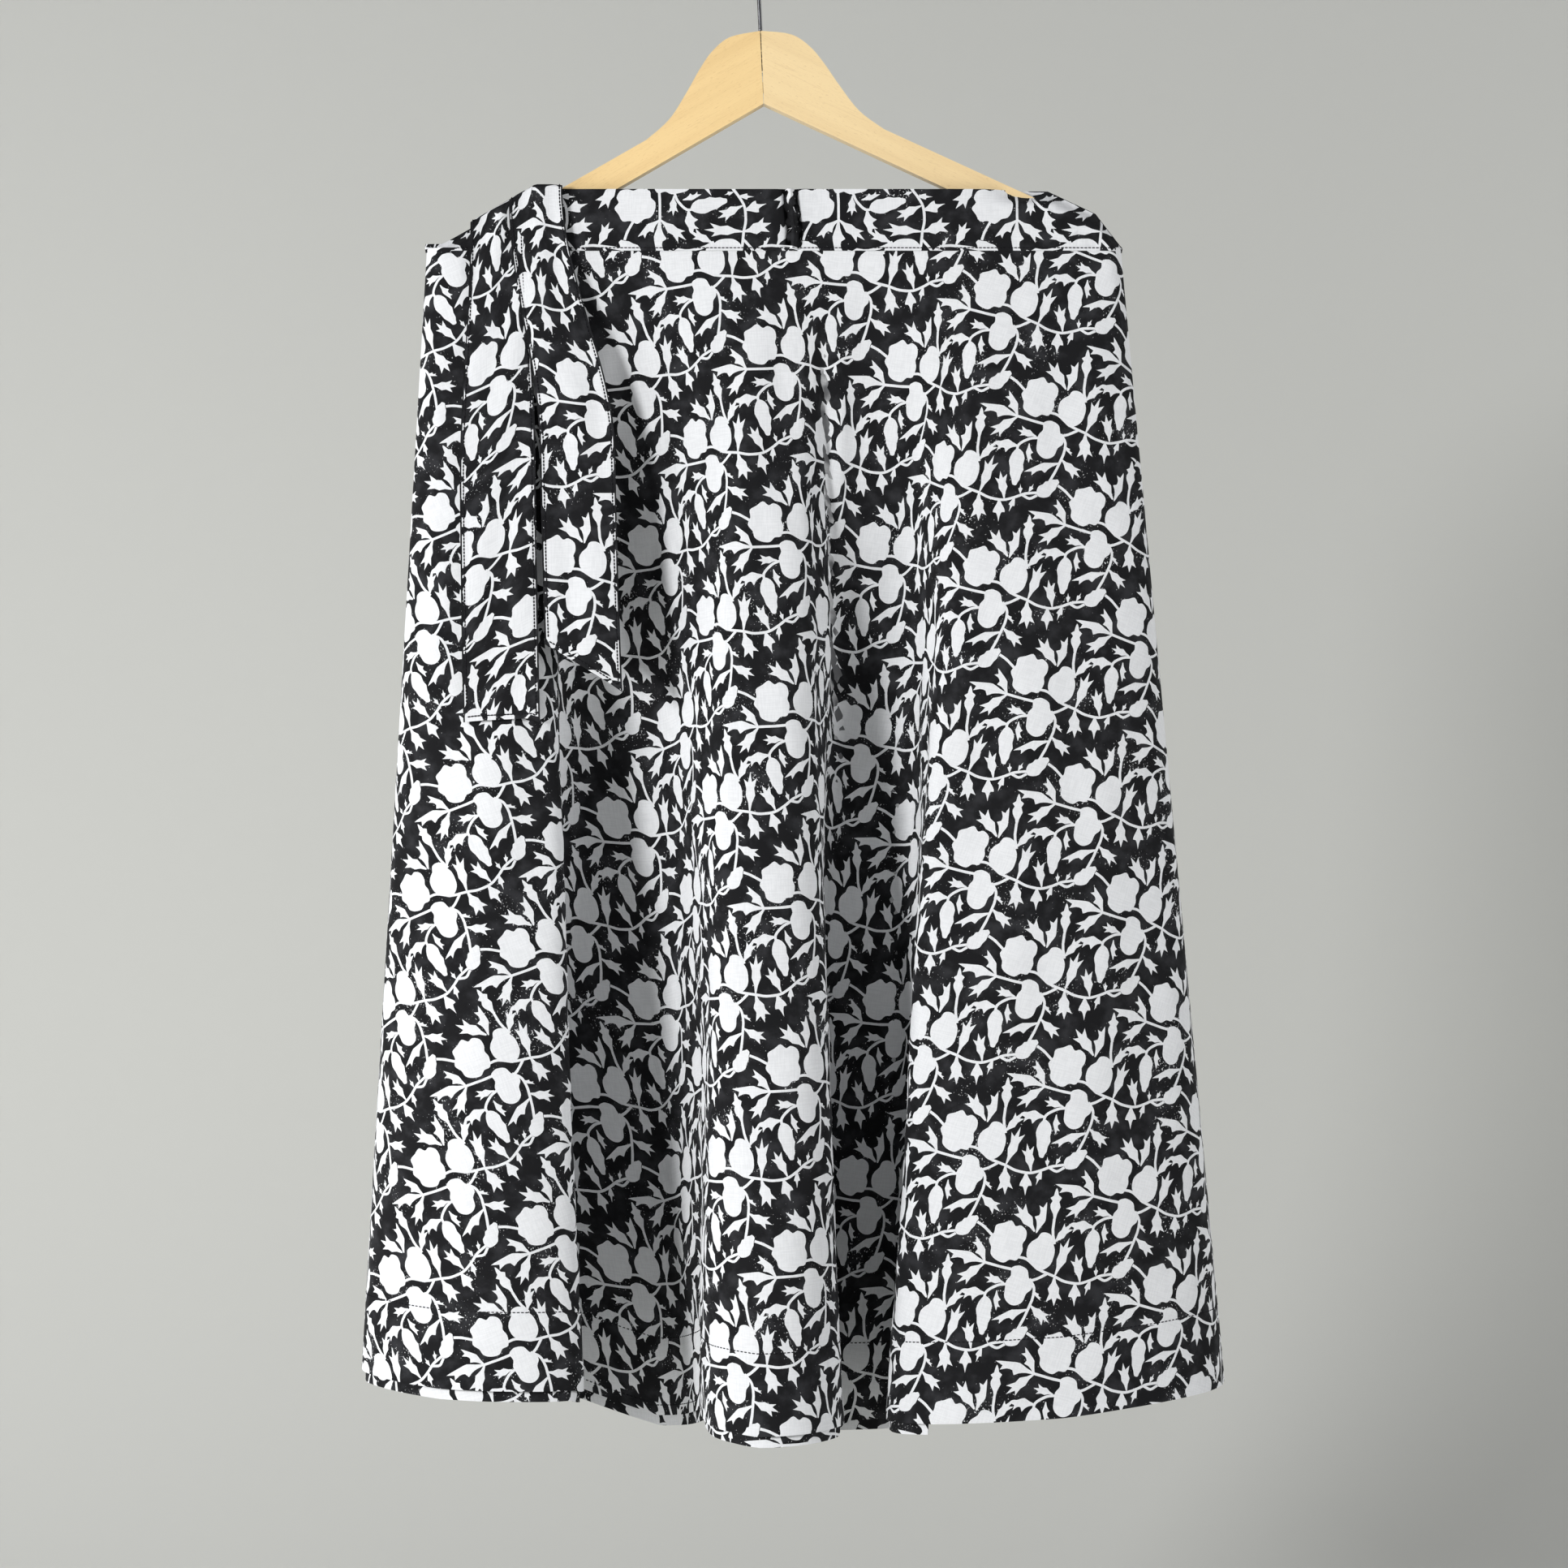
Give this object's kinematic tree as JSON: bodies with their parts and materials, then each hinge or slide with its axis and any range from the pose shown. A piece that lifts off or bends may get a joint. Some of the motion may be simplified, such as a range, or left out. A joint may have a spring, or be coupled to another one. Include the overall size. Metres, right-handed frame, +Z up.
{
  "type": "wrap skirt",
  "caption": "Flared wrap skirt in black and white floral print, with two sash ties, hanging by its waistband from a wooden coat hanger with a wire hook.",
  "frame": {"origin": "where the hook bears on its rail, at the inside top of the curl", "axes": "+Z up, the front of the skirt faces -Y, +X to the right as seen from the front"},
  "size_m": [0.6248, 0.2343, 1.0944],
  "materials": {
    "hook_wire": "bright plated wire",
    "hanger_wood": "pale wood, clear satin lacquer",
    "dowel_wood": "bare wood",
    "printed_cotton": "plain weave cotton, off-white floral motifs reserved on charcoal"
  },
  "bodies": {
    "hook": {"hook": "hook_wire"},
    "hanger": {"hanger_arm_left": "hanger_wood", "hanger_arm_right": "hanger_wood", "centre_dowel": "dowel_wood"},
    "skirt": {"front_panel": "printed_cotton", "waistband_front": "printed_cotton", "hem_facing_front": "printed_cotton", "under_panel": "printed_cotton", "waistband_under": "printed_cotton", "hem_facing_under": "printed_cotton", "back_panel": "printed_cotton", "waistband_back": "printed_cotton", "hem_facing_back": "printed_cotton"},
    "tie_left": {"tie_left": "printed_cotton"},
    "tie_right": {"tie_right": "printed_cotton"}
  },
  "joints": [
    {"name": "hook_swivel", "type": "hinge", "parent": "hook", "child": "hanger", "pos_m": [0, 0, 0], "axis": [-0.0454, 0, 0.999], "continuous": true},
    {"name": "skirt_lift", "type": "slide", "parent": "hanger", "child": "skirt", "axis": [0, 0, 1], "range_m": [0, 0.045]},
    {"name": "tie_left_swing", "type": "hinge", "parent": "skirt", "child": "tie_left", "pos_m": [-0.186, -0.0143, -0.2236], "axis": [-1, 0, 0], "range_deg": [0, 90]},
    {"name": "tie_right_swing", "type": "hinge", "parent": "skirt", "child": "tie_right", "pos_m": [-0.1544, -0.0143, -0.206], "axis": [-1, 0, 0], "range_deg": [0, 90]}
  ]
}
